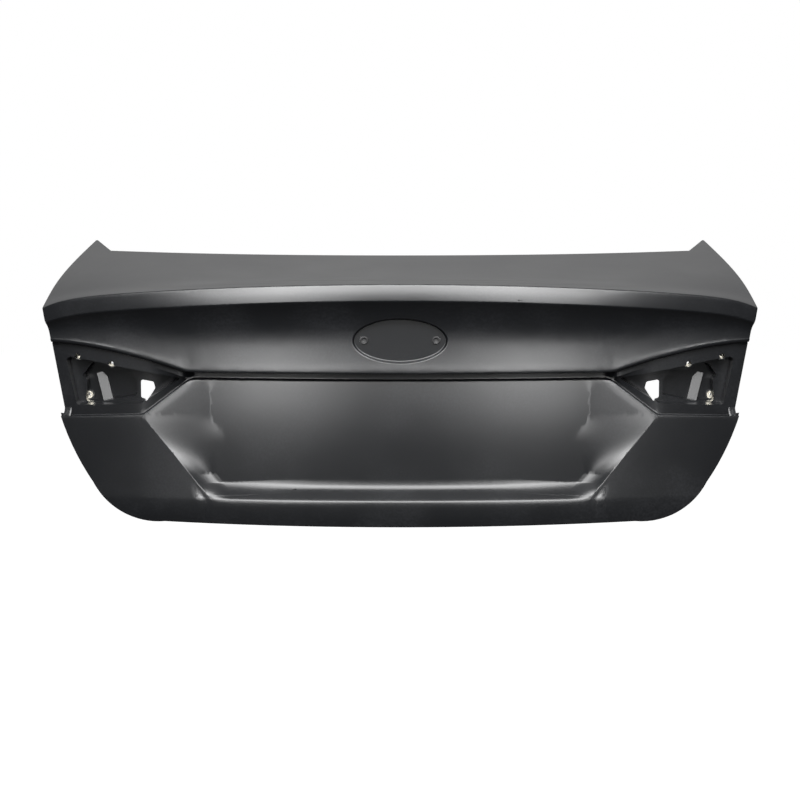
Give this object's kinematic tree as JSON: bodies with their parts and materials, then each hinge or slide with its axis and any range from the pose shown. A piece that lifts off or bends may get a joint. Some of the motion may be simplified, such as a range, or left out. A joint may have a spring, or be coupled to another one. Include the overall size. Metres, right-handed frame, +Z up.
{
  "type": "car trunk lid",
  "caption": "Saloon car trunk lid of pressed sheet steel in black primer, with number plate recess, lamp pockets and badge recess, shown without lamps or lock.",
  "frame": {"origin": "middle of the four hinge bolt holes, on the underside of the hinge pads", "axes": "+X to the right seen from behind the car, +Y forward, +Z up"},
  "size_m": [1.3402, 0.5073, 0.5057],
  "materials": {
    "primer": "satin",
    "zinc": "satin",
    "rubber_plug": "matte"
  },
  "bodies": {
    "root": {"upper_outer_panel": "primer", "lower_outer_panel": "primer", "inner_panel": "primer", "lamp_pocket_left": "primer", "lamp_pocket_right": "primer", "lamp_nuts_left": "zinc", "lamp_nuts_right": "zinc", "hinge_reinforcement_left": "primer", "hinge_reinforcement_right": "primer", "hinge_nuts_left": "zinc", "hinge_nuts_right": "zinc", "latch_reinforcement": "primer", "latch_nuts": "zinc", "badge_plug_left": "rubber_plug", "badge_plug_right": "rubber_plug"}
  },
  "joints": []
}
